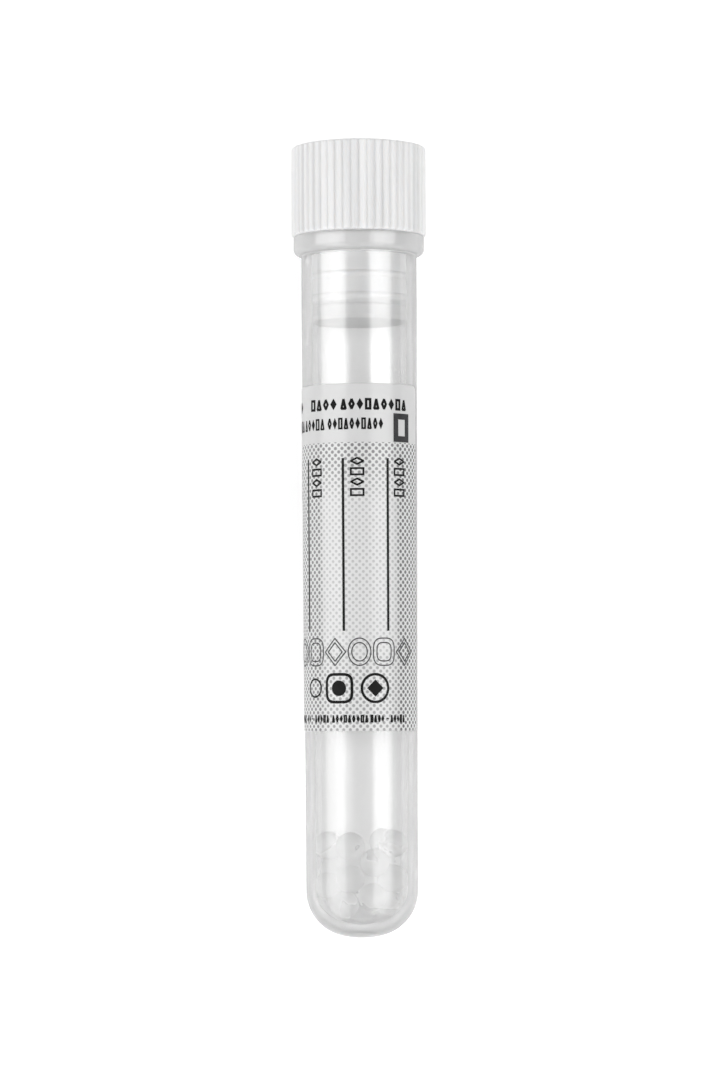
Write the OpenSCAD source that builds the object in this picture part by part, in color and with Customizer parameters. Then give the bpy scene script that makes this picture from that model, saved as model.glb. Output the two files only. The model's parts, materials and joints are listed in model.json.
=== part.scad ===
// Blood collection tube: a round-ended plastic tube with a push-in stopper cap,
// a wrap-around film label and loose clotting beads in its closed end.
//
// Every piece is drawn upright, with the tube's axis on Z, the outside of the
// closed end at z = 0 and the middle of the label facing -Y. lay_down() then
// lays the whole assembly on the floor as it comes to rest: along Y with the cap
// towards +Y, the middle of the label up, standing on the cap and the closed end.

/* [Tube] */
// Length of the tube, from the outside of the closed end to the rim
tube_len = 100; // [70:1:130]
// Outside diameter of the straight neck below the collar
neck_d = 16.55; // [13:0.05:22]
// How much slimmer the tube is at the closed end than at the neck
end_slimming = 0.65; // [0.2:0.05:1.6]
// Length of the straight neck below the collar
neck_len = 7; // [4:0.5:12]
// Thickness of the tube's wall
wall = 1.05; // [0.8:0.05:1.5]
// Thickness of the closed end in its middle
end_wall = 1.5; // [1:0.1:2.5]
// How much larger the radius of the closed end's crown is than the end's own
crown_more = 4.05; // [0.5:0.05:5]
// How much smaller the radius that turns the crown into the side is
knuckle_less = 1.45; // [0.2:0.05:2]

/* [Collar] */
// How far the collar stands out from the neck
collar_out = 1.1; // [0.6:0.1:2]
// Height of the collar, from the rim to its rounded underside
collar_h = 2.6; // [2:0.1:5]

/* [Cap] */
// Height of the ribbed head above the rim
head_h = 12.8; // [9:0.1:18]
// How far the ribs of the head stand out past the collar
head_out = 0.3; // [0.1:0.01:1]
// Number of upright ribs around the head
ribs = 52; // [36:2:64]
// Depth of the grooves between the ribs
groove = 0.37; // [0.2:0.01:0.5]
// Thickness of the head's wall behind the grooves
head_wall = 1.3; // [1:0.1:2]
// Thickness of the step between the head and the plug
step_t = 1.6; // [1.2:0.1:3]
// Length of the plug below the rim
plug_len = 12.4; // [9:0.1:16]
// Thickness of the plug's wall
plug_wall = 1.2; // [0.9:0.1:1.6]
// Thickness of the floor that closes the plug
plug_floor = 1.7; // [1.2:0.1:2.5]
// How far the lower sealing ring sits above the plug's tip
ring_up = 3.35; // [2.9:0.05:4.5]
// Distance from the lower sealing ring up to the upper one
ring_space = 3.1; // [1.2:0.1:4]
// Height of the sealing band at the plug's lower end
band_h = 2; // [1.5:0.1:2.5]

/* [Label] */
// Distance from the rim down to the label's upper edge
label_top = 21.65; // [16:0.05:30]
// Height of the label
label_h = 48.95; // [30:0.05:50]
// Angle that the label wraps around the tube
label_wrap = 300; // [200:1:340]
// Angle from the middle of the front to the label's right edge
label_edge = 74; // [40:1:100]
// Radius of the label's corners
label_corner = 1.2; // [0.5:0.1:3]
// Thickness of the label film
label_t = 0.07; // [0.06:0.01:0.2]

/* [Beads] */
// Number of loose beads
bead_count = 22; // [6:1:40]
// Diameter of a bead
bead_d = 4; // [3:0.1:5]
// Angle that the whole heap of beads is turned by
heap_turn = 351; // [0:1:359]

/* [Fits] */
// Clearance between the plug's sealing rings and the bore, all round
plug_gap = 0.04; // [0.02:0.01:0.08]
// Gap between the head and the rim that it is pushed down to
seat_gap = 0.1; // [0.05:0.05:0.3]
// Film of glue between the label and the tube
glue_gap = 0.02; // [0.01:0.01:0.05]
// Gap between a bead and what it lies against
bead_gap = 0.05; // [0.02:0.01:0.1]

/* [Hidden] */
// Smoothness of the round surfaces and of the arcs in the profiles
$fn = 96;
ARC_STEPS = 8;
// Cut tools reach this far past what they cut
OVER = 1;
// The arc at a label corner stands this far past the edges, so that it crosses them
CORNER_EASE = 0.01;
// Small edge breaks, all radii or chamfer legs
rim_break = 0.2;
mouth_lead = 0.35;
head_break = 0.3;
collar_round = 1.05;
// The plug's rings: section radius, and how far the plug stands back between them
ring_r = 0.45;
plug_relief = 0.3;
// Taper at the plug's tip that leads it into the bore
plug_lead = 0.6;
// The bore stays straight this far past the plug's tip
bore_past = 1;

neck_r = neck_d / 2;
end_r = neck_r - end_slimming / 2;
collar_r = neck_r + collar_out;
bore_r = neck_r - wall;
collar_z = tube_len - collar_h;
neck_z = collar_z - neck_len;
bore_z = tube_len - plug_len - bore_past;

// The closed end: a crown that a knuckle turns into the side. The knuckle's arc is
// centred knuckle_less from the axis
crown_r = end_r + crown_more;
knuckle_r = end_r - knuckle_less;
end_h = dome_h(crown_r, knuckle_r);
inner_end_h = dome_h(crown_r - wall, knuckle_r - wall);

// The cap's head and plug, measured from the head's underside
head_z = tube_len + seat_gap;
head_r = collar_r + head_out;
groove_r = head_r - groove;
head_well_r = groove_r - head_wall;
plug_r = bore_r - plug_gap - plug_relief;
plug_well_r = plug_r - plug_wall;
plug_end_z = head_z - plug_len;

// A rib is a half-round of this radius, sunk so that its crest is at head_r
rib_share = 0.75;
rib_r = rib_share * PI * head_r / ribs;
rib_at = head_r - rib_r;

label_bottom_z = tube_len - label_top - label_h;
label_top_z = tube_len - label_top;

// The laid-down tube touches the floor with its knuckle and with the break at the
// head's lower edge, where the two ribs next to the floor carry it
lift_break_z = head_z + head_break;
lift_r = rib_at * cos(180 / ribs) + rib_r;
foot = [end_h, knuckle_less, knuckle_r];
head_foot = [lift_break_z, lift_r, 0];
foot_gap = norm([head_foot.x - foot.x, head_foot.y - foot.y]);
lie_angle = atan2(head_foot.y - foot.y, head_foot.x - foot.x)
    + asin((head_foot.z - foot.z) / foot_gap);
axis_h = knuckle_r + knuckle_less * cos(lie_angle) - end_h * sin(lie_angle);
low_y = crown_r * cos(lie_angle) - crown_r;
high_y = (head_z + head_h) * cos(lie_angle) + (rib_at * cos(180 / ribs) + rib_r - head_break)
    * sin(lie_angle);

// Places on the beads' heap: rings of drop lines, from the axis out to the wall
bead_r = bead_d / 2;
bead_reach = bead_r + bead_gap;
wall_ring = end_r - wall - bead_reach;
DROP_RINGS = 5;
DROP_STEP = 20;
drop_lines = [
    for (k = [0:DROP_RINGS], a = [0:DROP_STEP:359])
        let (r = wall_ring * k / DROP_RINGS)
        [r * cos(a + heap_turn), r * sin(a + heap_turn)]
];
heap = settle(bead_count);

// Height of a domed end from its tip to where its side starts
function dome_h(crown, knuckle) =
    crown - sqrt(pow(crown - knuckle, 2) - pow(knuckle_less, 2));

// Angle from the tip at which the crown meets the knuckle
function meet_angle(crown, knuckle) = asin(knuckle_less / (crown - knuckle));

// Points along an arc about c, from angle a to angle b
function arc(c, r, a, b) = [
    for (k = [0:ARC_STEPS])
        let (t = a + (b - a) * k / ARC_STEPS)
        c + r * [cos(t), sin(t)]
];

// Half outline of a domed end with its tip at height z, from the tip outwards
function dome(crown, knuckle, z) = let (
    meet = meet_angle(crown, knuckle),
    side_z = z + dome_h(crown, knuckle)
) concat(
    arc([0, z + crown], crown, -90, -90 + meet),
    [for (k = [1:ARC_STEPS])
        let (t = meet - 90 + (90 - meet) * k / ARC_STEPS)
        [knuckle_less, side_z] + knuckle * [cos(t), sin(t)]]
);

// The same points in the other order
function turned(points) = [for (k = [len(points) - 1:-1:0]) points[k]];

// Outer radius of the tapered body at a height
function side_r(z) = end_r + (neck_r - end_r) * (z - end_h) / (neck_z - end_h);

function bead_name(i) = str(i < 10 ? "bead_0" : "bead_", i);

// Height at which a bead's centre meets the inside of the closed end
function floor_height(r) = let (
    crown = crown_r - wall - bead_reach,
    knuckle = knuckle_r - wall - bead_reach,
    meet = meet_angle(crown_r - wall, knuckle_r - wall),
    side_z = end_wall + inner_end_h
) r <= crown * sin(meet)
    ? end_wall + crown_r - wall - sqrt(pow(crown, 2) - pow(r, 2))
    : side_z - sqrt(max(0, pow(knuckle, 2) - pow(r - knuckle_less, 2)));

// Height at which a bead dropped down the line p comes to lie on the bead b
function height_on(b, p) = let (
    off = norm([b.x - p.x, b.y - p.y]),
    reach = bead_d + bead_gap
) off < reach ? b.z + sqrt(pow(reach, 2) - pow(off, 2)) : 0;

// Height at which a bead dropped down the line p comes to rest in the heap
function rest_height(p, done) = max(concat(
    [floor_height(norm(p))], [for (b = done) height_on(b, p)]));

// Each bead in turn goes down the line on which it comes to rest lowest
function settle(count, done = []) = len(done) == count ? done : let (
    heights = [for (p = drop_lines) rest_height(p, done)],
    low = min(heights),
    at = [for (k = [0:len(heights) - 1]) if (heights[k] == low) drop_lines[k]][0]
) settle(count, concat(done, [[at.x, at.y, low]]));

// Lays the upright assembly down on the floor, centred over the origin
module lay_down() {
    translate([0, -(low_y + high_y) / 2, axis_h])
        rotate([lie_angle - 90, 0, 0])
            children();
}

// The tube: a domed end, a tapered body, a straight neck and a collar at the rim
module tube() {
    color("whitesmoke", 0.5)
        lay_down()
            rotate_extrude()
                polygon(concat(
                    dome(crown_r, knuckle_r, 0),
                    [[neck_r, neck_z], [neck_r, collar_z]],
                    arc([collar_r - collar_round, collar_z + collar_round], collar_round, -90, 0),
                    [[collar_r, tube_len - rim_break], [collar_r - rim_break, tube_len],
                     [bore_r + mouth_lead, tube_len], [bore_r, tube_len - mouth_lead],
                     [bore_r, bore_z]],
                    turned(dome(crown_r - wall, knuckle_r - wall, end_wall))
                ));
}

// Outline of the head: half-round ribs standing on a round core
module head_outline() {
    circle(groove_r);
    for (i = [0:ribs - 1])
        rotate(90 + (i + 0.5) * 360 / ribs)
            translate([rib_at, 0])
                circle(rib_r, $fn = 24);
}

// The head as turned, with its upper and lower edges broken
module head_blank() {
    rotate_extrude()
        polygon([
            [0, 0], [head_r - head_break, 0], [head_r, head_break],
            [head_r, head_h - head_break], [head_r - head_break, head_h], [0, head_h]
        ]);
}

// The plug with its two sealing rings, its sealing band and its tapered tip
module plug() {
    seal_r = bore_r - plug_gap;
    band_z = -plug_len + band_h;
    rotate_extrude() {
        polygon([
            [0, -plug_len], [seal_r - plug_lead / 2, -plug_len], [seal_r, plug_lead - plug_len],
            [seal_r, band_z], [plug_r, band_z + plug_relief], [plug_r, OVER], [0, OVER]
        ]);
        for (up = [ring_up, ring_up + ring_space])
            translate([seal_r - ring_r, up - plug_len])
                circle(ring_r, $fn = 32);
    }
}

// The hollow of the cap: wide in the head, narrower in the plug, open at the top
module cap_well() {
    rotate_extrude()
        polygon([
            [0, plug_floor - plug_len], [plug_well_r, plug_floor - plug_len],
            [plug_well_r, step_t], [head_well_r, step_t], [head_well_r, head_h - rim_break],
            [head_well_r + rim_break + OVER, head_h + OVER], [0, head_h + OVER]
        ]);
}

// The cap: one moulding of ribbed head and hollow plug
module cap() {
    color("white")
        lay_down()
            translate([0, 0, head_z])
                difference() {
                    union() {
                        intersection() {
                            linear_extrude(head_h) head_outline();
                            head_blank();
                        }
                        plug();
                    }
                    cap_well();
                }
}

// Cuts one corner of the label round, on the side of the label that a faces;
// up is 1 for an upper corner and -1 for a lower one, along is 1 or -1 around
module corner_cut(a, z, up, along) {
    inset = label_corner - CORNER_EASE;
    reach = label_corner + OVER;
    translate([0, 0, z])
        rotate([90, 0, a])
            translate([-along * inset, -up * inset, neck_r - wall])
                linear_extrude(wall + label_corner)
                    difference() {
                        translate([min(0, along) * reach, min(0, up) * reach])
                            square(reach);
                        circle(label_corner);
                    }
}

// The label: a film wrapped around the body, with rounded corners
module label() {
    in_bottom = side_r(label_bottom_z) + glue_gap;
    in_top = side_r(label_top_z) + glue_gap;
    color("white")
        lay_down()
            difference() {
                rotate([0, 0, label_edge - 90 - label_wrap])
                    rotate_extrude(angle = label_wrap)
                        polygon([
                            [in_bottom, label_bottom_z], [in_bottom + label_t, label_bottom_z],
                            [in_top + label_t, label_top_z], [in_top, label_top_z]
                        ]);
                for (up = [-1, 1], along = [-1, 1])
                    corner_cut(
                        along > 0 ? label_edge : label_edge - label_wrap,
                        up > 0 ? label_top_z : label_bottom_z, up, along
                    );
            }
}

// One of the loose beads
module bead(i) {
    color("ghostwhite")
        lay_down()
            translate(heap[i - 1])
                sphere(bead_r);
}

tube();
cap();
label();
for (i = [1:bead_count])
    bead(i);
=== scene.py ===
"""Looks of a blood collection tube that lies on a pale floor, seen from above.

Every surface is worked out in the tube's own places: how far along its axis from the closed
end's tip, at what radius, and at what angle around it from the middle of the label. TubeAxis
turns such places into the frame's metres.
"""

import sys

import json
import logging
from dataclasses import dataclass, field
from enum import Enum
from typing import Sequence

import bpy
import numpy as np
from bpy.types import Material, Node, NodeSocket, Object, World
from mathutils import Matrix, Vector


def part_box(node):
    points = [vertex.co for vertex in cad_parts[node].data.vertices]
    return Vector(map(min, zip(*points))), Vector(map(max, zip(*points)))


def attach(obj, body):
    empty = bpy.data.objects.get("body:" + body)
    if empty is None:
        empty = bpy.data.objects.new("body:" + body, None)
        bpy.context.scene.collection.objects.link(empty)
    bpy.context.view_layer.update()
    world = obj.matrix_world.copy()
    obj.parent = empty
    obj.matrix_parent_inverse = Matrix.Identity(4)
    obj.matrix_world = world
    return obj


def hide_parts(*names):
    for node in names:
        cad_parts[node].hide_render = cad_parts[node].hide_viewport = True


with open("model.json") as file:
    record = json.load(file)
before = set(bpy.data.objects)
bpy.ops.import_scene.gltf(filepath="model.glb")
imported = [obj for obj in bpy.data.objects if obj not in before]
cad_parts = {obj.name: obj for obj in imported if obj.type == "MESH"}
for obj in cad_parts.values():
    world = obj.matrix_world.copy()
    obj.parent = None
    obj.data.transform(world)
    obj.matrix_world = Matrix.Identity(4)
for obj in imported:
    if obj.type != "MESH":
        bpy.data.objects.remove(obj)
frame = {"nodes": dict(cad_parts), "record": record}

Array = np.ndarray
Pair = tuple[float, float]
Colour = tuple[float, float, float]
Value = NodeSocket | float | Sequence[float]
MM = 0.001
LOG = logging.getLogger("tube")


# ---------------- places and meshes


@dataclass(frozen=True)
class TubeAxis:
    """The tube's own directions in the frame.

    Args:
        tip: the outside of the closed end, on the axis.
        along: unit vector from the tip towards the cap.
        up: unit vector from the axis to the middle of the label.
        right: unit vector to the right, with the cap at the top and the label in front.
    """

    tip: Array
    along: Array
    up: Array
    right: Array

    def around(self, angle: Array, radius: Array, along: Array) -> Array:
        """The frame's points for places of the tube: the tip, plus the radius times the angle's
        sine to the right and times its cosine up, plus the distance along.

        Args:
            angle: angle around the axis from the label's middle, positive to the right.
            radius: distance from the axis.
            along: distance from the tip.

        Returns:
            The points, on one axis more than the places have.
        """
        offsets = np.broadcast_arrays(radius * np.sin(angle), radius * np.cos(angle), along)
        directions = (self.right, self.up, self.along)
        return self.tip + sum(o[..., None] * d for o, d in zip(offsets, directions))


def new_piece(name: str, points: Array, faces: Sequence[Sequence[int]],
              *materials: Material) -> Object:
    """Makes a smooth-shaded mesh object at the origin.

    Args:
        name: the piece's name.
        points: its corners, in metres, with x, y and z on the last axis.
        faces: its faces as lists of corner numbers.
        materials: its materials, in the order of their slots.

    Returns:
        The object, linked to the scene.
    """
    mesh = bpy.data.meshes.new(name)
    mesh.from_pydata(points.reshape(-1, 3), [], faces)
    mesh.shade_smooth()
    mesh.update()
    for material in materials:
        mesh.materials.append(material)
    piece = bpy.data.objects.new(name, mesh)
    bpy.context.scene.collection.objects.link(piece)
    return piece


def quads(corner: Array) -> Array:
    """The quads between neighbouring rows and columns of a grid of corner numbers."""
    around = [corner[:-1, :-1], corner[:-1, 1:], corner[1:, 1:], corner[1:, :-1]]
    return np.stack(around, axis=-1).reshape(-1, 4)


def shell_faces(rings: int, columns: int) -> list[list[int]]:
    """Faces of a closed shell: quads between its rings, and a fan of triangles at each end.

    Args:
        rings: how many rings of corners come first, before the start's point and the end's.
        columns: how many corners a ring has.

    Returns:
        The faces as lists of corner numbers.
    """
    corner = np.arange(rings * columns).reshape(rings, columns)
    ring = np.hstack([corner, corner[:, :1]])
    start = np.full(columns, corner.size)
    fans = [np.stack([start, ring[0, 1:], ring[0, :-1]], axis=-1),
            np.stack([start + 1, ring[-1, :-1], ring[-1, 1:]], axis=-1)]
    return quads(ring).tolist() + np.concatenate(fans).tolist()


def turned_piece(name: str, axis: TubeAxis, along: Array, radius: Array,
                 material: Material) -> Object:
    """A closed body of turning: each row of the grid is a ring of radius[i, j] at along[i], and
    the first and last, which have no radius, are one point each.

    Args:
        name: the piece's name.
        axis: the tube's axis.
        along: distance of each ring along the axis, shape (rows,).
        radius: radius of each corner, shape (rows, columns).
        material: its material.

    Returns:
        The object.
    """
    rows, columns = radius.shape
    angle = np.arange(columns) * 2 * np.pi / columns
    points = axis.around(angle[None, :], radius[1:-1], along[1:-1, None]).reshape(-1, 3)
    ends = axis.around(np.zeros(2), np.zeros(2), along[[0, -1]])
    return new_piece(name, np.vstack([points, ends]), shell_faces(rows - 2, columns), material)


def section_arc(centre: Pair, radius: float, start: float, end: float,
                steps: int) -> Array:
    """Part of a section: an arc at centre + radius * (minus cosine, sine) of the angle.

    Args:
        centre: its centre's place along the axis and distance from it.
        radius: its radius.
        start: its first angle in degrees; 0 points back to the tip, 90 off the axis.
        end: its last angle.
        steps: how many steps it has.

    Returns:
        Its points, each a place along the axis and a radius.
    """
    t = np.radians(np.linspace(start, end, steps + 1))
    return np.array(centre) + radius * np.stack([-np.cos(t), np.sin(t)], axis=-1)


def rounded(corners: Sequence[tuple[float, float, float]], steps: int, support: float = 0.4,
            fill: float = 0.8) -> Array:
    """Part of a section: a polyline with rounded corners.

    Each inner corner's arc touches both of its sides. The arc starts and ends at
    radius / tan(half the corner's angle) from the corner, and a support point on each side
    keeps the flats flat in shading, unless the arcs leave no flat for it.

    Args:
        corners: (along, radius, rounding) of each corner; the ends aren't rounded, and a
            corner without a rounding stays sharp.
        steps: how many steps an arc has.
        support: how far the support points stand off an arc, in roundings.
        fill: the share of a side up to which there is room for them.

    Returns:
        Its points, each a place along the axis and a radius.
    """
    table = np.array(corners, float)
    at, rounding = table[:, :2], table[:, 2]
    points = [at[0]]
    for k in range(1, len(at) - 1):
        if not rounding[k]:
            points.append(at[k])
            continue
        back, ahead = at[k - 1] - at[k], at[k + 1] - at[k]
        spare = fill * min(np.linalg.norm(back), np.linalg.norm(ahead))
        back, ahead = back / np.linalg.norm(back), ahead / np.linalg.norm(ahead)
        half = np.arccos(np.clip(back @ ahead, -1, 1)) / 2
        reach = rounding[k] / np.tan(half)
        middle = back + ahead
        centre = at[k] + middle / np.linalg.norm(middle) * rounding[k] / np.sin(half)
        begin, finish = at[k] + reach * back - centre, at[k] + reach * ahead - centre
        turn = np.pi - 2 * half
        t = np.linspace(0, 1, steps + 1)[:, None]
        bend = (np.sin((1 - t) * turn) * begin + np.sin(t * turn) * finish) / np.sin(turn)
        if reach + support * rounding[k] < spare:
            reach += support * rounding[k]
        points += [at[k] + reach * back, *(centre + bend), at[k] + reach * ahead]
    return np.array([*points, at[-1]])


def split(points: Array, longest: float) -> Array:
    """A section with its long stretches divided evenly and its doubled points left out.

    Args:
        points: the section's points, from pole to pole.
        longest: the longest stretch that is left whole.

    Returns:
        The points, shape (n, 2).
    """
    gap = np.linalg.norm(np.diff(points, axis=0), axis=1)
    points = points[np.concatenate([[True], gap > 1e-9])]
    gap = np.linalg.norm(np.diff(points, axis=0), axis=1)
    parts = np.maximum(1, np.ceil(gap / longest).astype(int))
    travel = np.concatenate([np.linspace(k, k + 1, n, endpoint=False)
                             for k, n in enumerate(parts)] + [[len(gap)]])
    knots = np.arange(len(points))
    return np.stack([np.interp(travel, knots, column) for column in points.T], axis=-1)


def softer_least(a: Array, b: Array, blend: float) -> Array:
    """The lesser of two lengths with its crease rounded: where they differ by less than blend,
    a mix of both less blend * h * (1 - h), h going from 0 to 1 across the crease."""
    h = np.clip(0.5 + 0.5 * (b - a) / blend, 0, 1)
    return b + (a - b) * h - blend * h * (1 - h)


# ---------------- finishes


class NodeSheet:
    """The nodes of a material or a world, with short ways to add what the finishes need."""

    def __init__(self, owner: Material | World) -> None:
        """Takes the two nodes that a new owner starts with: a shader and an output.

        Args:
            owner: the material or world.
        """
        owner.use_nodes = True
        self.owner, self.tree = owner, owner.node_tree
        self.output, = [n for n in self.tree.nodes if n.type.startswith("OUTPUT")]
        self.shader, = [n for n in self.tree.nodes if n != self.output]

    def put(self, socket: NodeSocket, value: Value) -> None:
        """Gives an input its value.

        Args:
            socket: the input.
            value: another node's output, which is linked to it, or a number or a colour.
        """
        if isinstance(value, NodeSocket):
            self.tree.links.new(value, socket)
        else:
            socket.default_value = (*value, 1) if socket.type == "RGBA" else value

    def fill(self, node: Node, inputs: dict[str | int, Value]) -> None:
        """Puts a value into each of a node's inputs, by their names or places."""
        for key, value in inputs.items():
            self.put(node.inputs[key], value)

    def add(self, kind: str, inputs: dict[str | int, Value] | None = None, **choices: str
            ) -> Node:
        """Adds a node.

        Args:
            kind: the node's type, less its common beginning.
            inputs: the values of its inputs.
            choices: its own settings, such as its operation.

        Returns:
            The node.
        """
        node = self.tree.nodes.new(f"ShaderNode{kind}")
        for name, choice in choices.items():
            setattr(node, name, choice)
        self.fill(node, inputs or {})
        return node

    def math(self, operation: str, *values: Value) -> NodeSocket:
        """One number worked out from others by a Math node's operation."""
        return self.add("Math", dict(enumerate(values)), operation=operation).outputs[0]

    def places(self, source: str = "Object") -> NodeSocket:
        """The point's place, in the object's coordinates unless another source is named."""
        return self.add("TexCoord").outputs[source]

    def noise(self, scale: float, detail: float, where: NodeSocket | None = None) -> NodeSocket:
        """A noise about 0.5, with a number of lumps to a metre and of finer octaves."""
        return self.add("TexNoise", {"Scale": scale, "Detail": detail,
                                     "Vector": where or self.places()}).outputs["Fac"]

    def ramp(self, value: NodeSocket, low: float, high: float) -> NodeSocket:
        """Maps a noise, from 0.3 to 0.7, onto low to high."""
        return self.add("MapRange", {"From Min": 0.3, "From Max": 0.7, "To Min": low,
                                     "To Max": high, "Value": value}).outputs["Result"]

    def step(self, value: NodeSocket, start: float, end: float) -> NodeSocket:
        """A soft step, which goes from 0 where the value is start to 1 where it is end."""
        return self.add("MapRange", {"From Min": start, "From Max": end, "Value": value},
                        interpolation_type="SMOOTHSTEP").outputs["Result"]

    def bump(self, height: NodeSocket, depth: float) -> NodeSocket:
        """The normal of a relief that is depth metres high where its height is 1."""
        return self.add("Bump", {"Strength": 1.0, "Distance": depth, "Height": height}
                        ).outputs["Normal"]

    def mix_colours(self, factor: NodeSocket, first: Value, second: Value) -> NodeSocket:
        """The first colour where the factor is 0 and the second where it is 1. A Mix node's
        inputs 6 and 7 and its output 2 are the ones for colours."""
        return self.add("Mix", {0: factor, 6: first, 7: second}, data_type="RGBA").outputs[2]

    def mix_surfaces(self, factor: Value, first: NodeSocket, second: NodeSocket) -> NodeSocket:
        """The first surface where the factor is 0 and the second where it is 1."""
        return self.add("MixShader", {0: factor, 1: first, 2: second}).outputs[0]

    def along(self, axis: TubeAxis) -> NodeSocket:
        """Metres along the tube from its tip: the point's place less the tip's, dotted with
        the axis."""
        dot = self.add("VectorMath", {0: self.places(), 1: axis.along}, operation="DOT_PRODUCT")
        return self.math("SUBTRACT", dot.outputs["Value"], float(axis.tip @ axis.along))

    def done(self, surface: NodeSocket) -> Material | World:
        """Makes a surface the owner's, in place of its first shader alone, and returns it."""
        self.put(self.output.inputs["Surface"], surface)
        return self.owner


@dataclass(frozen=True)
class Frosting:
    """A stretch of a glossy moulding that is milkier and finely eroded, at one of its ends, and
    whose milk grey is painted lighter or darker there.

    Args:
        axis: the tube's axis.
        start: where it starts, from the tip.
        full: where it is full; it stays so beyond.
        milk: how much more milk shows there.
        roughness: how much rougher it is.
        lighter: how much lighter its milk is, as painted light; where it is less than 0, its milk
            is darker, as painted shade.
    """

    axis: TubeAxis
    start: float
    full: float
    milk: float
    roughness: float
    lighter: float

    def added(self, sheet: NodeSheet, value: Value, more: float) -> NodeSocket:
        """Adds more to a value beyond the start, by a soft step up to the full place."""
        past = sheet.step(sheet.along(self.axis), self.start, self.full)
        return sheet.math("MULTIPLY_ADD", past, more, value)


@dataclass(frozen=True)
class MilkyPlastic:
    """Translucent moulded polypropylene: clear with a little milk, glossy outside.

    A share of each surface is milk, a neutral grey that scatters light both ways: an even share
    and one that grows where the surface turns away. The rest bends light as plastic does, and
    lamps shine through it.
    """

    name: str
    milk: float
    grazing_milk: float
    lightness: float
    roughness: float
    index: float
    relief: float
    tint: Colour = (0.985, 0.985, 0.985)
    gloss: float = 0.0
    gloss_index: float = 1.8
    gloss_roughness: float = 0.2
    grazing_power: float = 1.7
    shadow_tint: Colour = (0.9, 0.9, 0.9)
    frosted: tuple[Frosting, ...] = ()

    def make(self) -> Material:
        """Builds the material."""
        sheet = NodeSheet(bpy.data.materials.new(self.name))
        rough = sheet.ramp(sheet.noise(160, 3), self.roughness * 0.8, self.roughness * 1.2)
        flat = sheet.ramp(sheet.noise(60, 2), self.milk * 0.93, self.milk * 1.07)
        light = self.lightness
        for stretch in self.frosted:
            rough = stretch.added(sheet, rough, stretch.roughness)
            flat = stretch.added(sheet, flat, stretch.milk)
            # painted light and shade: each stretch makes the milk grey lighter or darker
            light = stretch.added(sheet, light, stretch.lighter)
        sheet.fill(sheet.shader, {
            "Base Color": self.tint, "Transmission Weight": 1.0, "IOR": self.index,
            "Coat Weight": self.gloss, "Coat IOR": self.gloss_index,
            "Coat Roughness": self.gloss_roughness, "Roughness": rough,
            "Normal": sheet.bump(sheet.noise(90, 2), self.relief)})
        if self.gloss:
            sheet.put(sheet.shader.inputs["Specular Tint"], (0, 0, 0))
        grey = light if self.frosted else (light,) * 3
        milk = sheet.mix_surfaces(0.5, *(sheet.add(way, {"Color": grey}).outputs[0]
                                         for way in ("BsdfDiffuse", "BsdfTranslucent")))
        edge = sheet.add("Fresnel", {"IOR": self.gloss_index}).outputs[0]
        shine = sheet.add("BsdfGlossy", {"Roughness": self.gloss_roughness}).outputs[0]
        glazed = sheet.mix_surfaces(sheet.math("MULTIPLY", edge, self.gloss), milk, shine)
        slant = sheet.add("LayerWeight", {"Blend": 0.5}).outputs["Facing"]
        steep = sheet.math("MULTIPLY", sheet.math("POWER", slant, self.grazing_power),
                           self.grazing_milk)
        body = sheet.mix_surfaces(sheet.math("ADD", flat, steep), sheet.shader.outputs[0], glazed)
        lamps = sheet.add("BsdfTransparent", {"Color": self.shadow_tint}).outputs[0]
        shadow = sheet.add("LightPath").outputs["Is Shadow Ray"]
        return sheet.done(sheet.mix_surfaces(shadow, body, lamps))


@dataclass(frozen=True)
class WhiteMoulding:
    """White moulded polyethylene, satin, into which a little light sinks. Its tone is drawn out
    in faint streaks along the axis, painted highlight and shade put down at random, and from the
    plug's tip up to a set place along the axis it has a darker colour, a painted shade for the
    shade that falls inside the plug's end."""

    name: str
    axis: TubeAxis
    colour: Colour
    shade: Colour
    # painted shade: the darker colour given to the plug's end, where shade falls inside it
    painted_plug_shade: Colour
    painted_shade_to: float
    roughness: float
    sink: float
    sink_depth: tuple[float, ...] = (1.2 * MM, 1.1 * MM, 1 * MM)
    streak: float = 0.97

    def make(self) -> Material:
        """Builds the material."""
        sheet = NodeSheet(bpy.data.materials.new(self.name))
        # painted highlight and shade: streaks of lighter and darker tone, put down at random
        # along the axis, stand in for the ribs' uneven highlights
        stretch = 1 - self.streak * np.abs(self.axis.along)
        drawn = sheet.add("VectorMath", {0: sheet.places(), 1: stretch},
                          operation="MULTIPLY").outputs[0]
        skin_with_painted_streaks = sheet.mix_colours(sheet.ramp(sheet.noise(650, 1, drawn), 0, 1), self.shade,
                                 self.colour)
        # painted shade over the plug's end: this mask is 0 there and 1 above, where the skin
        # shows
        past_painted_shade = sheet.step(sheet.along(self.axis), self.painted_shade_to - 0.2 * MM, self.painted_shade_to)
        sheet.fill(sheet.shader, {
            "Base Color": sheet.mix_colours(past_painted_shade, self.painted_plug_shade, skin_with_painted_streaks),
            "Roughness": sheet.ramp(sheet.noise(500, 3), self.roughness * 0.85,
                                    self.roughness * 1.15),
            "Normal": sheet.bump(sheet.noise(1500, 4), 0.01 * MM),
            "Subsurface Weight": self.sink, "Subsurface Radius": self.sink_depth,
            "Subsurface Scale": 1.0, "IOR": 1.5})
        return sheet.owner


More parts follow.
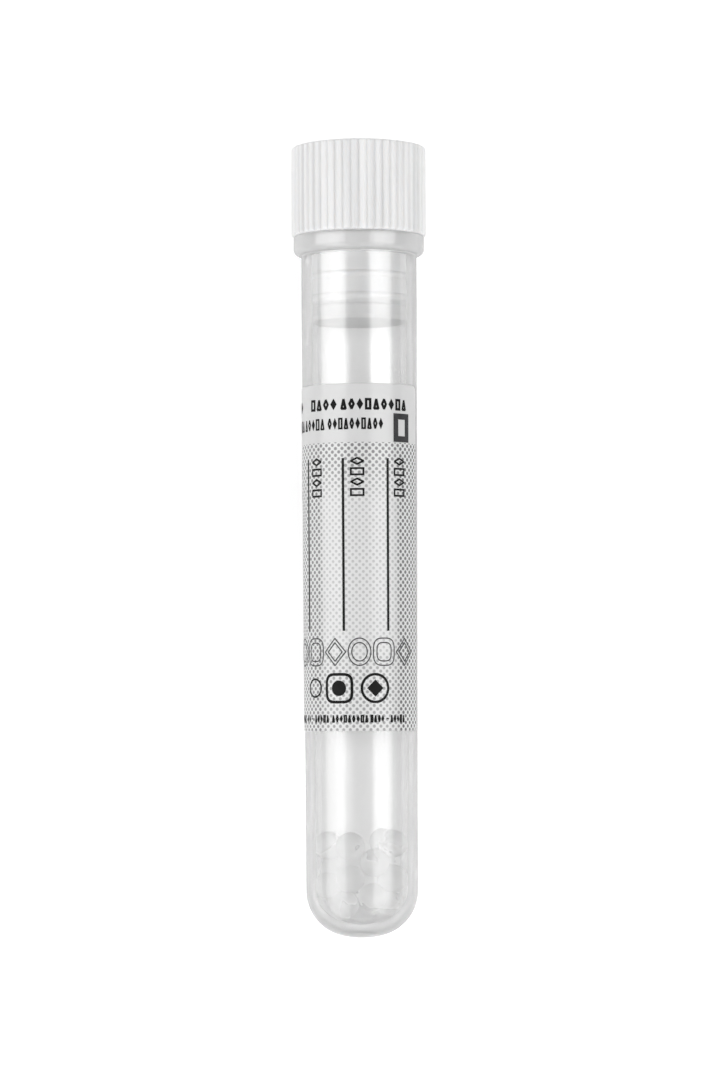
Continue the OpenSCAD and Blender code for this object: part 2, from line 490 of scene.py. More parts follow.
@dataclass(frozen=True)
class LabelFilm:
    """Matte white film with a lattice of printed dots below its heading.

    Args:
        name: the finish's name.
        colour: the bare film's colour.
        field_colour: the dotted field's own colour.
        dot_colour: the dots' colour.
        size: width and height of the label, which its UV map spans.
        dots_from: how far below the upper edge the dots start.
        pitch: distance between a row's dots, and between two rows in line.
        dot_radius: radius of a dot.
        dark_beyond: shares of the width over which the dots turn full, to the left and right.
        faint: how full a dot is in the middle of the field.
        full_ends: how full it is at the upper and lower end.
        full_sides: how full it is to the left and right.
        fades_over: share of the height over which the upper dots turn faint.
        foot: shares of the height between which the lower dots turn full.
        through: share of the light that passes through the film.
    """

    name: str
    colour: Colour
    field_colour: Colour
    dot_colour: Colour
    size: Pair
    dots_from: float
    pitch: Pair
    dot_radius: float
    dark_beyond: tuple[Pair, Pair]
    faint: float = 0.3
    full_ends: Pair = (0.75, 0.55)
    full_sides: Pair = (0.75, 0.88)
    fades_over: float = 0.3
    foot: Pair = (0.68, 0.85)
    through: float = 0.35

    def dots(self, sheet: NodeSheet) -> tuple[NodeSocket, NodeSocket]:
        """How inked a place of the dotted field is, from 0 to 1, and whether it is in the field.

        The rows are staggered, so the dots stand at the whole numbers of across + down and
        across - down, each counted in pitches. The distance to the nearest one, turned back
        into metres, is compared with the dot's radius, which a fuller dot exceeds.
        """
        math = sheet.math
        x, y = sheet.add("SeparateXYZ", {0: sheet.places("UV")}).outputs[:2]
        drop = math("SUBTRACT", 1.0, y)
        across = math("MULTIPLY", x, self.size[0] / self.pitch[0])
        down = math("MULTIPLY", drop, self.size[1] / self.pitch[1])
        slants = [math(way, across, down) for way in ("ADD", "SUBTRACT")]
        off = [math("SUBTRACT", slant, math("ROUND", slant)) for slant in slants]
        legs = [math("MULTIPLY", math(way, *off), pitch / 2)
                for way, pitch in zip(("ADD", "SUBTRACT"), self.pitch)]
        away = math("SQRT", math("ADD", *(math("MULTIPLY", leg, leg) for leg in legs)))
        first = self.dots_from / self.size[1]
        upper = math("SUBTRACT", 1.0, sheet.step(drop, first, first + self.fades_over))
        lower = sheet.step(drop, *self.foot)
        left = math("SUBTRACT", 1.0, sheet.step(x, *self.dark_beyond[0]))
        right = sheet.step(x, *self.dark_beyond[1])
        full = self.faint
        for place, most in zip((upper, lower, left, right), self.full_ends + self.full_sides):
            full = math("MAXIMUM", math("MULTIPLY", place, most), full)
        near = math("MULTIPLY_ADD", full, -0.3 * self.dot_radius, away)
        dot = sheet.add("MapRange", {"From Min": self.dot_radius * 1.15,
                                     "From Max": self.dot_radius * 0.6, "Value": near})
        return (math("MULTIPLY", dot.outputs["Result"], full),
                math("GREATER_THAN", drop, first))

    def make(self) -> Material:
        """Builds the material."""
        sheet = NodeSheet(bpy.data.materials.new(self.name))
        ink, below = self.dots(sheet)
        field = sheet.mix_colours(ink, self.field_colour, self.dot_colour)
        colour = sheet.mix_colours(below, self.colour, field)
        sheet.fill(sheet.shader, {
            "Base Color": colour, "Specular IOR Level": 0.9,
            "Roughness": sheet.ramp(sheet.noise(700, 3), 0.21, 0.27),
            "Normal": sheet.bump(sheet.noise(220, 3), 0.02 * MM)})
        back = sheet.add("BsdfTranslucent", {"Color": colour}).outputs[0]
        return sheet.done(sheet.mix_surfaces(self.through, sheet.shader.outputs[0], back))


@dataclass(frozen=True)
class Ink:
    """Printing ink, a little uneven: up to lighter times its colour in places."""

    name: str
    colour: Colour
    lighter: float = 1.6

    def make(self) -> Material:
        """Builds the material."""
        sheet = NodeSheet(bpy.data.materials.new(self.name))
        sheet.fill(sheet.shader, {
            "Base Color": sheet.mix_colours(sheet.ramp(sheet.noise(900, 3), 0, 1), self.colour,
                                            tuple(c * self.lighter for c in self.colour)),
            "Roughness": sheet.ramp(sheet.noise(1200, 2), 0.5, 0.7),
            "Specular IOR Level": 0.15})
        return sheet.owner


# ---------------- the tube's pieces


@dataclass
class TubeBody:
    """The moulded tube: domed end, tapered body, straight neck and collar.

    Lengths are in metres and along places are measured from the tip. The mount is the record's,
    halfway up the neck, and its own axis points towards the tip.
    """

    mount: dict
    length: float = 100 * MM
    neck_radius: float = 8.275 * MM
    end_radius: float = 7.95 * MM
    neck_length: float = 7 * MM
    wall: float = 1.05 * MM
    end_wall: float = 1.5 * MM
    crown_more: float = 4.05 * MM
    knuckle_less: float = 1.45 * MM
    collar_out: float = 1.1 * MM
    collar_height: float = 2.6 * MM
    collar_fillet: float = 0.12 * MM
    bore_depth: float = 13.4 * MM
    rim_edge: float = 0.1 * MM
    mouth_edge: float = 0.3 * MM
    neck_bend: float = 4 * MM
    bore_bend: float = 6 * MM
    tip_inset: float = 0.002 * MM
    corner_steps: int = 10
    dome_steps: tuple[int, int] = (24, 20)
    longest: float = 2.5 * MM
    columns: int = 192

    @property
    def collar_at(self) -> float:
        """Where the collar's underside meets the neck."""
        return self.length - self.collar_height

    @property
    def neck_at(self) -> float:
        """Where the straight neck starts."""
        return self.collar_at - self.neck_length

    @property
    def axis(self) -> TubeAxis:
        """The tube's axis, with up as near to the frame's +Z as it can be."""
        along = -np.array(self.mount["axis"], float)
        along /= np.linalg.norm(along)
        right = np.cross(along, [0.0, 0.0, 1.0])
        right /= np.linalg.norm(right)
        mount_from_tip = self.collar_at - self.neck_length / 2
        tip = np.array(self.mount["pos_m"], float) - mount_from_tip * along
        return TubeAxis(tip, along, np.cross(right, along), right)

    @property
    def bore_radius(self) -> float:
        """Radius of the mouth that holds the plug."""
        return self.neck_radius - self.wall

    @property
    def dome_height(self) -> float:
        """Height of the closed end, where its knuckle meets the body."""
        crown = self.crown_more + self.knuckle_less
        return self.end_radius + self.crown_more - np.sqrt(crown**2 - self.knuckle_less**2)

    def side_radius(self, along: Array) -> Array:
        """Outer radius of the tapered body: it grows evenly from the dome to the neck."""
        share = (along - self.dome_height) / (self.neck_at - self.dome_height)
        return self.end_radius + (self.neck_radius - self.end_radius) * share

    def dome(self, at: float, inset: float, steps: int) -> Array:
        """Section of a domed end: a crown's arc about the axis, then the knuckle's arc, which
        it touches where both point the same way.

        Args:
            at: where its tip is.
            inset: how much smaller its radii are than the outer ones.
            steps: how many steps the knuckle has; the crown has half as many.

        Returns:
            Its points, from the axis outwards.
        """
        crown = self.end_radius + self.crown_more - inset
        knuckle = self.end_radius - self.knuckle_less - inset
        meet = np.degrees(np.arcsin(self.knuckle_less / (crown - knuckle)))
        side = at + crown - np.sqrt((crown - knuckle) ** 2 - self.knuckle_less**2)
        return np.vstack([section_arc((at + crown, 0), crown, 0, meet, steps // 2),
                          section_arc((side, self.knuckle_less), knuckle, meet, 90, steps)])

    def profile(self) -> Array:
        """Half the tube's section, from the tip over the collar and down the bore."""
        collar = self.neck_radius + self.collar_out
        body = rounded([
            (self.dome_height + self.tip_inset, self.end_radius, 0),
            (self.neck_at, self.neck_radius, self.neck_bend),
            (self.collar_at, self.neck_radius, self.collar_fillet),
            (self.collar_at, collar, self.collar_out - self.collar_fillet),
            (self.length, collar, self.rim_edge),
            (self.length, self.bore_radius, self.mouth_edge),
            (self.length - self.bore_depth, self.bore_radius, self.bore_bend),
            (self.end_wall + self.dome_height - self.wall, self.end_radius - self.wall, 0),
        ], self.corner_steps)
        outer = self.dome(self.tip_inset, 0.0, self.dome_steps[0])
        inner = self.dome(self.end_wall, self.wall, self.dome_steps[1])
        return split(np.vstack([outer, body, inner[::-1]]), self.longest)

    def build(self, finish: MilkyPlastic) -> Object:
        """Builds the tube: the same section all round.

        Args:
            finish: its plastic.

        Returns:
            The piece, in place of the CAD node.
        """
        section = self.profile()
        radius = np.repeat(section[:, 1:2], self.columns, axis=1)
        piece = turned_piece("tube_moulding", self.axis, section[:, 0], radius, finish.make())
        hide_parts("tube")
        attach(piece, "tube")
        return piece


@dataclass
class RibbedCap:
    """The cap: a ribbed head that is open at the top, and a hollow plug with a floor."""

    tube: TubeBody
    seat_gap: float = 0.1 * MM
    head_height: float = 12.8 * MM
    head_out: float = 0.3 * MM
    ribs: int = 52
    groove: float = 0.37 * MM
    rib_share: float = 0.75
    head_wall: float = 1.3 * MM
    step: float = 1.6 * MM
    plug_length: float = 12.4 * MM
    plug_wall: float = 1.2 * MM
    plug_floor: float = 1.7 * MM
    ring_up: float = 3.35 * MM
    ring_space: float = 3.1 * MM
    ring_radius: float = 0.45 * MM
    ring_spread: float = 1.15
    ring_foot: float = 0.05 * MM
    ring_turn: float = 70
    ring_steps: int = 8
    band: float = 2 * MM
    plug_gap: float = 0.04 * MM
    relief: float = 0.3 * MM
    lead: float = 0.6 * MM
    tip_edge: float = 0.25 * MM
    seal_edge: float = 0.2 * MM
    plug_edge: float = 0.12 * MM
    edge: float = 0.3 * MM
    foot_edge: float = 0.5 * MM
    well_edges: tuple[float, ...] = (0.25 * MM, 0.4 * MM, 0.3 * MM, 0.5 * MM)
    rib_crease: float = 0.08 * MM
    side_crease: float = 0.06 * MM
    top_inset: float = 0.002 * MM
    corner_steps: int = 4
    longest: float = 3 * MM
    columns_per_rib: int = 12

    @property
    def head_radius(self) -> float:
        """Radius over the ribs' crests."""
        return self.tube.neck_radius + self.tube.collar_out + self.head_out

    @property
    def ring_reach(self) -> float:
        """How far a sealing ring reaches along the plug from its middle."""
        return self.ring_radius * self.ring_spread

    @property
    def first_ring(self) -> float:
        """Where the lower sealing ring starts to stand out of the plug."""
        tip = self.tube.length + self.seat_gap - self.plug_length
        return tip + self.ring_up - self.ring_reach

    def rib_radius(self, angle: Array) -> Array:
        """Radius of the ribbed side: half-round ribs, whose centres lie one rib radius inside
        the crests, standing on the round core between them.

        Args:
            angle: the angles around the tube.

        Returns:
            The radius at each.
        """
        pitch = 2 * np.pi / self.ribs
        rib = self.rib_share * np.pi * self.head_radius / self.ribs
        centre = self.head_radius - rib
        off = (angle % pitch) - pitch / 2
        across = centre * np.sin(off)
        bulge = centre * np.cos(off) + np.sqrt(np.maximum(rib**2 - across**2, 0))
        core = self.head_radius - self.groove
        return -softer_least(-bulge, -np.full_like(bulge, core), self.rib_crease)

    def profile(self) -> Array:
        """Half the cap's section, from the plug's tip over the head and down the well."""
        foot = self.tube.length + self.seat_gap
        seal = self.tube.bore_radius - self.plug_gap
        plug = seal - self.relief
        top = foot + self.head_height - self.top_inset
        tip = foot - self.plug_length
        well = self.head_radius - self.groove - self.head_wall
        band_top = tip + self.band
        t = np.radians(np.linspace(-self.ring_turn, self.ring_turn, self.ring_steps + 1))
        rings = []
        for at in (tip + self.ring_up, tip + self.ring_up + self.ring_space):
            rings += [(at - self.ring_reach, plug, self.ring_foot)]
            rings += [(at + self.ring_radius * s, seal - self.ring_radius * (1 - c), 0)
                      for s, c in zip(np.sin(t), np.cos(t))]
            rings += [(at + self.ring_reach, plug, self.ring_foot)]
        return split(rounded([
            (tip, 0, 0),
            (tip, seal - self.lead / 2, self.tip_edge),
            (tip + self.lead, seal, self.seal_edge),
            (band_top, seal, self.plug_edge),
            (band_top + self.relief, plug, self.plug_edge),
            *rings,
            (foot, plug, self.plug_edge),
            (foot, self.head_radius, self.foot_edge),
            (top, self.head_radius, self.edge),
            (top, well, self.well_edges[0]),
            (foot + self.step, well, self.well_edges[1]),
            (foot + self.step, plug - self.plug_wall, self.well_edges[2]),
            (tip + self.plug_floor, plug - self.plug_wall, self.well_edges[3]),
            (tip + self.plug_floor, 0, 0),
        ], self.corner_steps), self.longest)

    def build(self, finish: WhiteMoulding) -> Object:
        """Builds the cap. Each corner's radius is the lesser of its ring's and the ribs'.

        Args:
            finish: its plastic.

        Returns:
            The piece, in place of the CAD node.
        """
        section = self.profile()
        columns = self.ribs * self.columns_per_rib
        angle = np.arange(columns) * 2 * np.pi / columns
        ring = section[:, 1:2]
        ribbed = softer_least(ring, self.rib_radius(angle)[None, :], self.side_crease)
        outside = ring > self.head_radius - self.groove - 2 * self.edge
        radius = np.where(outside, ribbed, ring)
        piece = turned_piece("cap_moulding", self.tube.axis, section[:, 0], radius,
                             finish.make())
        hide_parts("cap")
        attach(piece, "cap")
        return piece


@dataclass
class WrapLabel:
    """The film label: a rectangle with rounded corners, wrapped around the body."""

    tube: TubeBody
    top: float = 21.65 * MM
    height: float = 48.95 * MM
    wrap: float = 300
    right_edge: float = 74
    corner: float = 1.2 * MM
    glue: float = 0.02 * MM
    thickness: float = 0.07 * MM
    columns: int = 200
    rows: int = 40

    @property
    def radius(self) -> float:
        """Radius of the film's face halfway down, by which arcs are counted."""
        middle = self.tube.length - self.top - self.height / 2
        return float(self.tube.side_radius(middle)) + self.glue + self.thickness

    @property
    def width(self) -> float:
        """Length of the label around the tube."""
        return np.radians(self.wrap) * self.radius

    @property
    def right(self) -> float:
        """Arc from the label's middle line on the front to its right edge."""
        return np.radians(self.right_edge) * self.radius

    def face(self, arc: Array, down: Array, lift: float) -> tuple[Array, Array, Array]:
        """Angle, radius and place along the axis of a point on the label.

        Args:
            arc: distance around from the front's middle, positive to the right.
            down: distance below the label's upper edge.
            lift: height over the film's face.

        Returns:
            The three, as TubeAxis.around takes them.
        """
        along = self.tube.length - self.top - down
        radius = self.tube.side_radius(along) + self.glue + self.thickness + lift
        return arc / self.radius, radius, along

    def outline(self, down: Array) -> Array:
        """How far the sides pull in at a distance down: a quarter circle at each corner."""
        reach = np.clip(self.corner - np.minimum(down, self.height - down), 0, self.corner)
        return self.corner - np.sqrt(self.corner**2 - reach**2)

    def build(self, finish: LabelFilm) -> Object:
        """Builds the film: a face and a back whose edges are joined all round.

        Args:
            finish: its film.

        Returns:
            The piece, in place of the CAD node.
        """
        ease = (1 - np.cos(np.linspace(0, np.pi, self.rows))) / 2
        down = (ease * self.height)[:, None]
        share = np.linspace(0, 1, self.columns)[None, :]
        pull = self.outline(down)
        arc = self.right - self.width + pull + share * (self.width - 2 * pull)
        down = np.broadcast_to(down, arc.shape)
        face, back = (self.tube.axis.around(*self.face(arc, down, lift)).reshape(-1, 3)
                      for lift in (0.0, -self.thickness))
        corner = np.arange(arc.size).reshape(arc.shape)
        grid = quads(corner)
        rim = np.concatenate([corner[0], corner[1:, -1], corner[-1, -2::-1], corner[-2::-1, 0]])
        sides = quads(np.stack([rim, rim + arc.size]))
        faces = np.concatenate([grid[:, ::-1], grid + arc.size, sides])
        piece = new_piece("label_film", np.vstack([face, back]), faces.tolist(), finish.make())
        across = (arc - (self.right - self.width)) / self.width
        places = np.stack([across, 1 - down / self.height], axis=-1).reshape(-1, 2)
        places = places[faces.ravel() % arc.size].astype(np.float32)
        layer = piece.data.uv_layers.new(name="LabelMap")
        layer.uv.foreach_set("vector", places.ravel())
        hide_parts("label")
        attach(piece, "tube")
        return piece


class InkTone(Enum):
    """The two inks of the label's print, by the number of their material slot."""

    BLACK = 0
    GREY = 1


class CellShape(Enum):
    """The plain shapes that stand where a label has its writing."""

    BOX = "outlined box"
    WEDGE = "outlined triangle"
    DIAMOND = "outlined diamond"
    LOZENGE = "filled diamond"


@dataclass
class LabelPrint:
    """The label's print, of plain shapes: each is a slab of ink, a few thousandths of a
    millimetre thick, that follows the film.

    A shape is drawn in columns: at each place around the tube it runs from its upper edge to
    its lower one. Places are in millimetres: right of the front's middle, and below the rim.
    The tone is the ink of the shapes that are added next.
    """

    label: WrapLabel
    tone: InkTone = InkTone.BLACK
    lift: float = 0.004 * MM
    film: float = 0.008 * MM
    longest: float = 0.45 * MM
    ring_steps: int = 40
    disc_steps: int = 24
    parts: list[tuple[Array, Array, Array, InkTone]] = field(default_factory=list)

    def polygon(self, corners: Sequence[Pair]) -> None:
        """Adds a convex polygon: its upper and lower edges are read off at even columns.

        Args:
            corners: its corners, right and below, in order.
        """
        at = np.array(corners, float) * MM
        low, high = at[:, 0].min(), at[:, 0].max()
        columns = max(2, int(np.ceil((high - low) / self.longest)) + 1)
        across = np.unique(np.concatenate([np.linspace(low, high, columns), at[:, 0]]))
        span, fall = (np.roll(at, -1, axis=0) - at).T
        flat = np.abs(span) < 1e-9
        share = (across[:, None] - at[:, 0]) / np.where(flat, 1.0, span)
        inside = (share > -1e-6) & (share < 1 + 1e-6) & ~flat
        height = at[:, 1] + share * fall
        self.parts.append((across, np.where(inside, height, np.inf).min(axis=1),
                           np.where(inside, height, -np.inf).max(axis=1), self.tone))

    def bar(self, left: float, top: float, right: float, bottom: float) -> None:
        """Adds an upright rectangle."""
        self.polygon([(left, top), (right, top), (right, bottom), (left, bottom)])

    def path(self, points: Array, width: float) -> None:
        """Adds a bent line: a strip along each of its stretches, which reaches past both ends
        by a fifth of the width, so that the strips overlap.

        Args:
            points: the line's points.
            width: its width.
        """
        for a, b in zip(points[:-1], points[1:]):
            stride = (b - a) / np.linalg.norm(b - a) * width
            side = np.array([-stride[1], stride[0]]) / 2
            a, b = a - 0.2 * stride, b + 0.2 * stride
            self.polygon([a + side, b + side, b - side, a - side])

    def ring(self, centre: Pair, half: Pair, width: float, power: float = 2.0) -> None:
        """Adds an outline at centre + half * (cosine, sine), both raised to 2 / power with their
        signs kept.

        Args:
            centre: its middle.
            half: half its width and half its height.
            width: width of its line.
            power: 1 for a diamond, 2 for an oval, more for a rounded box.
        """
        t = np.linspace(0, 2 * np.pi, self.ring_steps + 1)
        turn = np.stack([np.cos(t), np.sin(t)], axis=-1)
        shape = np.sign(turn) * np.abs(turn) ** (2 / power)
        self.path(np.array(centre) + shape * np.array(half), width)

    def disc(self, centre: Pair, radius: float) -> None:
        """Adds a filled disc."""
        t = np.linspace(0, 2 * np.pi, self.disc_steps, endpoint=False)
        self.polygon(np.array(centre) + radius * np.stack([np.cos(t), np.sin(t)], axis=-1))

    def cell(self, shape: CellShape, sides: tuple[float, ...], width: float) -> None:
        """Adds one plain shape that fills a rectangle.

        Args:
            shape: which shape.
            sides: the rectangle's left, upper, right and lower side.
            width: width of the shape's lines.
        """
        left, top, right, bottom = sides
        x, y, inset = (left + right) / 2, (top + bottom) / 2, width / 2
        if shape is CellShape.BOX:
            self.bar(left, top, right, top + width)
            self.bar(left, bottom - width, right, bottom)
            self.bar(left, top + width, left + width, bottom - width)
            self.bar(right - width, top + width, right, bottom - width)
        elif shape is CellShape.LOZENGE:
            self.polygon([(x, top), (right, y), (x, bottom), (left, y)])
        else:
            rest = [(right - inset, bottom - inset), (left + inset, bottom - inset)]
            if shape is CellShape.DIAMOND:
                rest = [(right - inset, y), (x, bottom - inset), (left + inset, y)]
            head = (x, top + inset)
            self.path(np.array([head, *rest, head]), width)

    def cell_row(self, sides: tuple[float, ...], count: int, width: float) -> None:
        """Adds a row of plain shapes, side by side, with a fifth of each place left bare.

        Args:
            sides: the row's left, upper, right and lower side.
            count: how many shapes it has.
            width: width of their lines.
        """
        left, top, right, bottom = sides
        shapes = list(CellShape)
        pitch = (right - left) / (count - 0.2)
        for k in range(count):
            x = left + k * pitch
            self.cell(shapes[(k + count) % len(shapes)], (x, top, x + 0.8 * pitch, bottom), width)

    def build(self, finishes: dict[InkTone, Ink]) -> Object:
        """Lays every shape on the film as four rows of corners, the upper and the lower edge on
        the ink's top and on its underside, and closes it at both ends.

        Args:
            finishes: the ink of each tone.

        Returns:
            The piece, which rides with the tube.
        """
        axis = self.label.tube.axis
        lift = np.array([self.lift + self.film] * 2 + [self.lift] * 2)[:, None]
        points, faces, tones, first = [], [], [], 0
        for across, upper, lower, tone in self.parts:
            down = np.stack([upper, lower, lower, upper]) - self.label.top
            across = np.broadcast_to(across, down.shape)
            points.append(axis.around(*self.label.face(across, down, lift)).reshape(-1, 3))
            corner = first + np.arange(down.size).reshape(down.shape)
            sides = quads(corner[[0, 1, 2, 3, 0]])[:, ::-1].tolist()
            faces += [*sides, corner[::-1, 0].tolist(), corner[:, -1].tolist()]
            tones += [tone.value] * (len(sides) + 2)
            first += down.size
        piece = new_piece("label_print", np.vstack(points), faces,
                          *(finishes[tone].make() for tone in InkTone))
        piece.data.polygons.foreach_set("use_smooth", np.zeros(len(faces), bool))
        piece.data.polygons.foreach_set("material_index", np.array(tones, np.int32))
        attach(piece, "tube")
        return piece


def draw_label(label: WrapLabel) -> LabelPrint:
    """Lays out the print: two heading rows and a foot row of plain shapes, a grey frame,
    writing lines with a few shapes beside each, a row of outlined shapes and a row of figures.

    Args:
        label: the label that it is printed on.

    Returns:
        The print, with all its shapes.
    """
    art = LabelPrint(label)
    # rows of plain shapes: two of the heading and one at the foot
    for top, bottom, width, words in (
            (23.75, 25.4, 0.36, ((-24.5, -14.2, 9), (-12.9, -10.9, 2), (-8.0, -3.3, 4),
                                 (-2.75, 7.45, 9))),
            (26.5, 28.15, 0.26, ((-22.0, -14.0, 8), (-12.9, -10.2, 3), (-9.75, -5.3, 5),
                                 (-4.75, 3.35, 10))),
            (68.33, 69.44, 0.22, ((-21.0, -14.0, 12), (-13.2, -10.4, 5), (-9.69, -8.72, 2),
                                  (-7.63, -4.86, 5), (-4.37, 1.02, 9), (1.3, 3.36, 4),
                                  (4.35, 6.98, 5)))):
        for left, right, count in words:
            art.cell_row((left, top, right, bottom), count, width)
    for x in (-8.3, 3.9):
        art.bar(x - 0.2, 68.8, x + 0.2, 68.97)
    # writing lines, each with its shapes
    for k in range(-4, 2):
        x = -2.43 + 6.47 * k
        art.bar(x - 0.18, 32.2, x + 0.18, 56.55)
        for row, y in enumerate(np.linspace(32.05, 36.45, 4)):
            shape = CellShape.BOX if row % 2 else CellShape.DIAMOND
            art.cell(shape, (x + 1.0, y, x + 3.05, y + 1.15), 0.27)
    # figures: a small ring, a disc in a rounded box, and a filled diamond in a ring
    art.ring((-7.55, 64.55), (1.3, 1.25), 0.26)
    art.ring((-3.25, 64.6), (1.95, 1.95), 0.4, power=4.0)
    art.disc((-3.25, 64.6), 1.1)
    art.ring((2.05, 64.6), (1.95, 1.95), 0.36)
    art.cell(CellShape.LOZENGE, (0.85, 63.4, 3.25, 65.8), 0.3)
    # grey frame, and a row of outlined shapes, evenly spaced
    art.tone = InkTone.GREY
    art.cell(CellShape.BOX, (5.03, 25.8, 8.05, 29.85), 0.85)
    for k in range(8):
        for half in ((1.62, 1.92), (1.1, 1.3)):
            art.ring((-18.2 + 3.6 * k, 59.5), half, 0.16, (3.2, 1.0, 2.0)[k % 3])
    return art


# ---------------- the beads and the set


@dataclass
class Beads:
    """The loose beads. Each is a little out of round and has a shallow dimple where it was cut
    from its runner."""

    names: tuple[str, ...]
    lumps: float = 0.03
    dimple_depth: float = 0.4
    dimple_spread: float = 0.04
    spread: Pair = (2.4, 4.08)
    rows: int = 24
    columns: int = 32

    def build(self, finish: MilkyPlastic) -> list[Object]:
        """Builds every bead in its CAD node's place, never larger than it.

        A bead's radius at a direction d is the node's radius * (1 - lumps * w), where w is the
        square of the cosine between d and the bead's own axis, so it is largest around its
        waist, and at one end of the axis w grows by a bell curve, the dimple. The spread is
        by how many radians that axis turns and tips from one bead to the next.

        Args:
            finish: their plastic.

        Returns:
            The pieces.
        """
        material = finish.make()
        polar = np.linspace(0, np.pi, self.rows)[:, None]
        turn = (np.arange(self.columns) * 2 * np.pi / self.columns)[None, :]
        unit = np.stack(np.broadcast_arrays(np.sin(polar) * np.cos(turn),
                                            np.sin(polar) * np.sin(turn),
                                            np.cos(polar)), axis=-1)
        pieces = []
        for k, name in enumerate(self.names):
            low, high = (np.array(corner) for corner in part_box(name))
            radius = (high - low).min() / 2
            turned, tipped = k * np.array(self.spread)
            pole = np.array([np.sin(turned), np.cos(turned), np.sin(tipped)])
            pole /= np.linalg.norm(pole)
            cosine = unit @ pole
            dimple = self.dimple_depth * np.exp(-((1 - cosine) / self.dimple_spread) ** 2)
            size = radius * (1 - self.lumps * (cosine**2 + dimple))
            corners = (low + high) / 2 + unit * size[..., None]
            points = np.vstack([corners[1:-1].reshape(-1, 3), corners[[0, -1], 0]])
            faces = [face[::-1] for face in shell_faces(self.rows - 2, self.columns)]
            piece = new_piece(f"{name}_moulding", points, faces, material)
            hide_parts(name)
            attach(piece, "tube")
            pieces.append(piece)
        return pieces


@dataclass
class Studio:
    """The floor, two long softboxes on either side of the view, and an even room light."""

    axis: TubeAxis
    floor_size: float = 3.0
    floor_white: float = 0.8
    floor_glow: float = 0.46
    room: float = 0.44
    box_distance: float = 0.8
    box_ends: tuple[float, ...] = (-1.2, 0.09, 0.24)
    box_radiance: Pair = (1.8, 3.3)

    def floor(self) -> None:
        """Makes the pale floor, which reads as white to the camera and keeps shadows."""
        half = self.floor_size / 2
        corners = np.array([(-half, -half, 0), (half, -half, 0), (half, half, 0),
                            (-half, half, 0)])
        sheet = NodeSheet(bpy.data.materials.new("floor_paper"))
        sheet.fill(sheet.shader, {"Base Color": (self.floor_white,) * 3, "Roughness": 0.9,
                                  "Specular IOR Level": 0.0})
        rays = sheet.add("LightPath").outputs
        seen = rays["Is Camera Ray"]
        for kind in ("Is Glossy Ray", "Is Transmission Ray"):
            seen = sheet.math("MAXIMUM", seen, rays[kind])
        glow = sheet.add("Emission", {"Strength": sheet.math("MULTIPLY", seen, self.floor_glow)})
        both = sheet.add("AddShader", {0: sheet.shader.outputs[0], 1: glow.outputs[0]})
        floor = new_piece("floor", corners, [(0, 1, 2, 3)], sheet.done(both.outputs[0]))

    def softbox(self, name: str, lower: Pair, upper: Pair, strength: float) -> None:
        """Hangs a long softbox beside the view, facing the tube's axis: a dimmer lower part and
        a brighter upper part, end to end.

        A part that spans an angle is twice the distance times the tangent of half of it wide.
        Its power in watts is pi times its radiance times its area.

        Args:
            name: the softbox's name.
            lower: the angles around the tube between which the lower part stands, in degrees
                from the view, positive to the right.
            upper: the same for the upper part.
            strength: by how much its radiance is multiplied.
        """
        parts = zip(("lower", "upper"), (lower, upper), self.box_ends, self.box_ends[1:],
                    self.box_radiance)
        for part, angles, low, high, radiance in parts:
            lamp = bpy.data.lights.new(f"{name}_{part}", "AREA")
            lamp.shape = "RECTANGLE"
            half = np.radians(angles[1] - angles[0]) / 2
            lamp.size = 2 * self.box_distance * np.tan(half)
            lamp.size_y = high - low
            lamp.energy = np.pi * radiance * strength * lamp.size * lamp.size_y
            turn = np.radians(sum(angles) / 2)
            away = self.axis.right * np.sin(turn) + self.axis.up * np.cos(turn)
            side = np.cross(self.axis.along, away)
            at = self.axis.tip + (low + high) / 2 * self.axis.along + self.box_distance * away
            holder = bpy.data.objects.new(lamp.name, lamp)
            bpy.context.scene.collection.objects.link(holder)
            holder.matrix_world = Matrix([*zip(side, self.axis.along, away, at), (0, 0, 0, 1)])

    def world(self) -> None:
        """Sets the room's even light, which the camera sees as white."""
        sheet = NodeSheet(bpy.data.worlds.new("room"))
        extra = sheet.math("MULTIPLY", sheet.add("LightPath").outputs["Is Camera Ray"],
                           1.0 - self.room)
        strength = sheet.math("ADD", extra, self.room)
        sheet.fill(sheet.shader, {"Color": (1, 1, 1), "Strength": strength})
        bpy.context.scene.world = sheet.owner

    def build(self) -> None:
        """Sets up the floor, the lamps and the room."""
        self.floor()
        self.softbox("softbox_left", lower=(-78, -34), upper=(-82, -27), strength=0.93)
        self.softbox("softbox_right", lower=(24, 65), upper=(22, 66), strength=1.0)
        self.world()
        bpy.context.scene.view_settings.view_transform = "Standard"


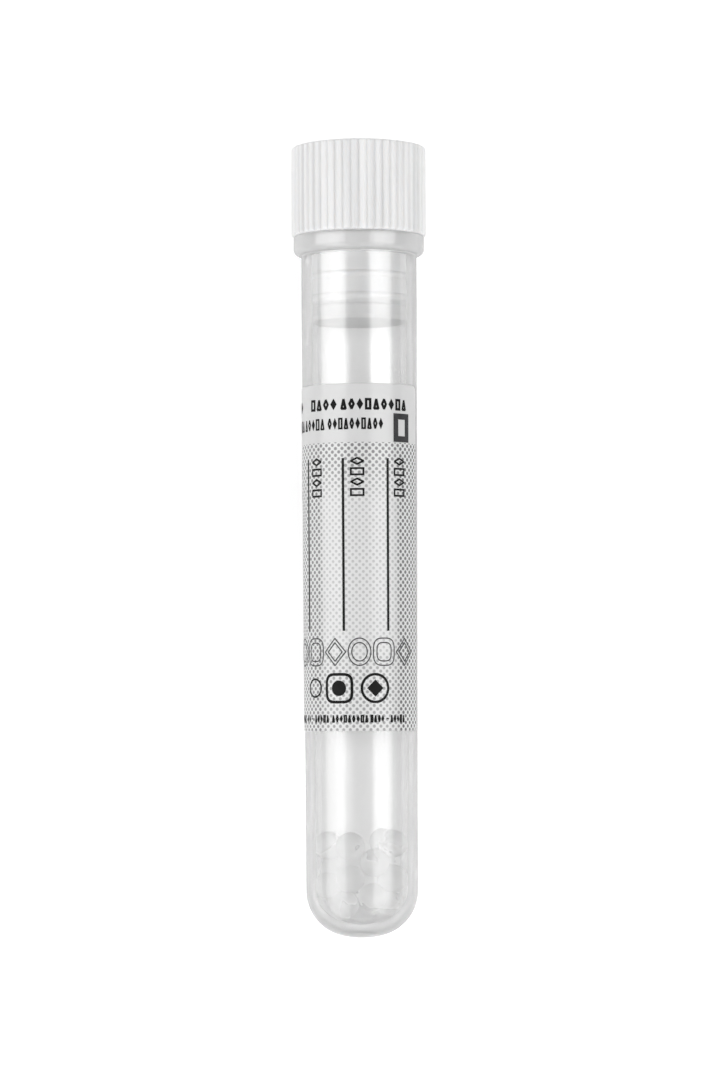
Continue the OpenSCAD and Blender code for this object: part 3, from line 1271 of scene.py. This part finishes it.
@dataclass
class Camera:
    """The camera, over the tube: it looks at the axis from the front of the label.

    Args:
        axis: the tube's axis.
        level: how far from the tip the axis is met at a right angle.
        distance: distance from the axis.
        pitch: how far the view is turned towards the cap, in degrees.
        roll: how far the picture is turned, in degrees.
        aside: how far the camera stands to the left of the axis.
        focal: focal length in picture heights.
        sensor: the picture's height on the sensor, in millimetres.
    """

    axis: TubeAxis
    level: float = 32.27 * MM
    distance: float = 501.3 * MM
    pitch: float = 2.78
    roll: float = -0.3
    aside: float = 0.26 * MM
    focal: float = 3.25
    sensor: float = 36

    def build(self) -> None:
        """Places the camera and makes it the scene's."""
        lens = bpy.data.cameras.new("camera")
        lens.sensor_width = self.sensor
        lens.lens = self.sensor * self.focal
        lens.clip_start = 0.01
        camera = bpy.data.objects.new("camera", lens)
        bpy.context.scene.collection.objects.link(camera)
        a, pitch, roll = self.axis, np.radians(self.pitch), np.radians(self.roll)
        at = a.tip + self.level * a.along + self.distance * a.up - self.aside * a.right
        back = a.up * np.cos(pitch) - a.along * np.sin(pitch)
        top = a.along * np.cos(pitch) + a.up * np.sin(pitch)
        side = np.cross(top, back)
        x = side * np.cos(roll) + top * np.sin(roll)
        y = top * np.cos(roll) - side * np.sin(roll)
        camera.matrix_world = Matrix([*zip(x, y, back, at), (0, 0, 0, 1)])
        bpy.context.scene.camera = camera


# ---------------- putting it together


def main() -> None:
    """Builds every piece and the set, and reports each piece."""
    logging.basicConfig(level=logging.INFO, format="%(name)s: %(message)s", stream=sys.stdout)
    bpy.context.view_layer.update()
    tube = TubeBody(next(m for m in frame["record"]["mounts"] if m["name"] == "rack_neck"))
    axis = tube.axis
    Camera(axis).build()
    Studio(axis).build()
    cap = RibbedCap(tube)
    label = WrapLabel(tube)
    pieces = [
        tube.build(MilkyPlastic(
            "milky_plastic", milk=0.15, grazing_milk=1.0, lightness=0.635, roughness=0.05,
            index=1.5, relief=0.01 * MM, gloss=1.0, frosted=(
                # the collar's milk is painted lighter: painted light over its shaded underside
                Frosting(axis, tube.collar_at - 0.4 * MM, tube.collar_at, milk=0.5,
                         roughness=0.1, lighter=0.22),
                # the closed end's milk is painted darker towards the tip: painted shade
                Frosting(axis, tube.dome_height, 1.5 * MM, milk=0.1, roughness=0.05,
                         lighter=-0.05)))),
        # painted shade: the plug's end, up to where its lower sealing ring starts, is given a
        # darker colour
        cap.build(WhiteMoulding(
            # the skin's streaks between shade and colour are painted highlight
            "white_moulding", axis, colour=(0.91, 0.91, 0.91), shade=(0.77, 0.772, 0.775),
            painted_plug_shade=(0.7, 0.7, 0.7), painted_shade_to=cap.first_ring, roughness=0.45, sink=0.3)),
        label.build(LabelFilm(
            "label_film", colour=(0.9, 0.9, 0.9), field_colour=(0.985, 0.985, 0.985),
            dot_colour=(0.1, 0.1, 0.105), size=(label.width, label.height), dots_from=8.3 * MM,
            pitch=(0.98 * MM, 0.966 * MM), dot_radius=0.21 * MM,
            dark_beyond=((0.6, 0.64), (0.86, 0.9)))),
        draw_label(label).build({InkTone.BLACK: Ink("ink_black", (0.006, 0.006, 0.006)),
                                 InkTone.GREY: Ink("ink_grey", (0.035, 0.035, 0.037))}),
    ]
    beads = tuple(sorted(n for n in frame["nodes"] if n.startswith("bead_")))
    pieces += Beads(beads).build(MilkyPlastic(
        "bead_plastic", milk=0.35, grazing_milk=0.1, lightness=0.94, roughness=0.3, index=1.25,
        relief=0.03 * MM))
    for piece in pieces:
        LOG.info("%s: %d faces", piece.name, len(piece.data.polygons))


if __name__ == "__main__":
    main()
